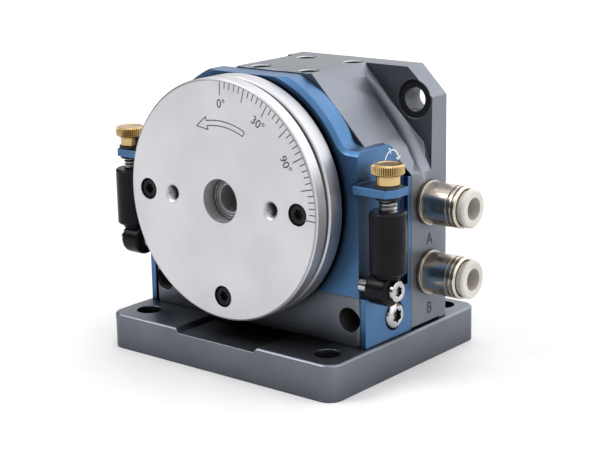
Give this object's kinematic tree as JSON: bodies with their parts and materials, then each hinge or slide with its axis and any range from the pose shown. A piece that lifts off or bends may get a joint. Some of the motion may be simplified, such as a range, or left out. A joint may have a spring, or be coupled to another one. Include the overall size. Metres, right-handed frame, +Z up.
{
  "type": "rotary cylinder",
  "caption": "Pneumatic rotary table: a flanged disc turned through a quarter turn by twin racks on a pinion, with side dampers that set its stops, on a flat base plate.",
  "frame": {"origin": "centre of the base plate's underside", "axes": "+Z up, the table faces -Y, and the tube fittings point along +X"},
  "size_m": [0.1041, 0.0678, 0.0808],
  "materials": {
    "gray_anodised": "gray anodised, satin",
    "blue_anodised": "blue anodised, satin",
    "turned_aluminium": "turned, bright satin",
    "black_steel": "black oxide",
    "stainless": "bright stainless",
    "steel": "ground steel",
    "cap_gray": "gray anodised, satin",
    "seal_rubber": "black nitrile",
    "brass": "polished brass",
    "damper_black": "satin black",
    "nickel": "nickel plated",
    "collet_ivory": "ivory acetal"
  },
  "bodies": {
    "frame": {"base_plate": "gray_anodised", "base_screws": "black_steel", "actuator_body": "gray_anodised", "front_housing": "blue_anodised", "housing_screws": "black_steel", "leg_screws": "stainless", "front_bearing_outer": "steel", "rear_bearing_outer": "steel", "rear_cap": "cap_gray", "rear_cap_screws": "stainless", "end_plugs": "cap_gray", "plug_o_rings": "seal_rubber", "port_a_fitting": "nickel", "port_b_fitting": "nickel"},
    "table": {"table_plate": "turned_aluminium", "table_hub": "turned_aluminium", "table_screws": "black_steel", "pinion_shaft": "steel", "shaft_pins": "steel", "front_bearing_inner": "steel", "front_bearing_balls": "steel", "rear_bearing_inner": "steel", "rear_bearing_balls": "steel"},
    "upper_rack": {"upper_rack": "steel", "upper_rack_seal": "seal_rubber"},
    "lower_rack": {"lower_rack": "steel", "lower_rack_seal": "seal_rubber"},
    "right_knob": {"right_knob": "brass", "right_knob_washer": "seal_rubber", "right_stud": "stainless", "right_stud_clip": "black_steel"},
    "right_damper": {"right_damper": "damper_black", "right_damper_eye": "damper_black", "right_stop_pin": "stainless", "right_eye_screw": "stainless"},
    "left_knob": {"left_knob": "brass", "left_knob_washer": "seal_rubber", "left_stud": "stainless", "left_stud_clip": "black_steel"},
    "left_damper": {"left_damper": "damper_black", "left_damper_eye": "damper_black", "left_stop_pin": "stainless", "left_eye_screw": "stainless"},
    "collet_a": {"port_a_collet": "collet_ivory"},
    "collet_b": {"port_b_collet": "collet_ivory"}
  },
  "joints": [
    {"name": "table_turn", "type": "hinge", "parent": "frame", "child": "table", "pos_m": [0, -0.03, 0.0474], "axis": [0, -1, 0], "range_deg": [0, 90]},
    {"name": "upper_rack_slide", "type": "slide", "parent": "frame", "child": "upper_rack", "axis": [1, 0, 0], "range_m": [-0.01006, 0]},
    {"name": "lower_rack_slide", "type": "slide", "parent": "frame", "child": "lower_rack", "axis": [1, 0, 0], "range_m": [0, 0.01006]},
    {"name": "right_knob_turn", "type": "hinge", "parent": "frame", "child": "right_knob", "pos_m": [0.04575, -0.017, 0.058], "axis": [0, 0, 1], "range_deg": [0, 540.5]},
    {"name": "right_damper_slide", "type": "slide", "parent": "frame", "child": "right_damper", "axis": [0, 0, 1], "range_m": [-0.00105, 0]},
    {"name": "left_knob_turn", "type": "hinge", "parent": "frame", "child": "left_knob", "pos_m": [-0.04575, -0.017, 0.058], "axis": [0, 0, 1], "range_deg": [0, 540.5]},
    {"name": "left_damper_slide", "type": "slide", "parent": "frame", "child": "left_damper", "axis": [0, 0, 1], "range_m": [-0.00105, 0]},
    {"name": "collet_a_press", "type": "slide", "parent": "frame", "child": "collet_a", "axis": [-1, 0, 0], "range_m": [0, 0.001], "stiffness_N_per_m": 200},
    {"name": "collet_b_press", "type": "slide", "parent": "frame", "child": "collet_b", "axis": [-1, 0, 0], "range_m": [0, 0.001], "stiffness_N_per_m": 200}
  ],
  "couplings": [
    {"joint": "upper_rack_slide", "follows": "table_turn", "m_per_rad": -0.0064},
    {"joint": "lower_rack_slide", "follows": "table_turn", "m_per_rad": 0.0064},
    {"joint": "right_knob_turn", "follows": "right_damper_slide", "rad_per_m": -8976},
    {"joint": "left_knob_turn", "follows": "left_damper_slide", "rad_per_m": -8976}
  ]
}
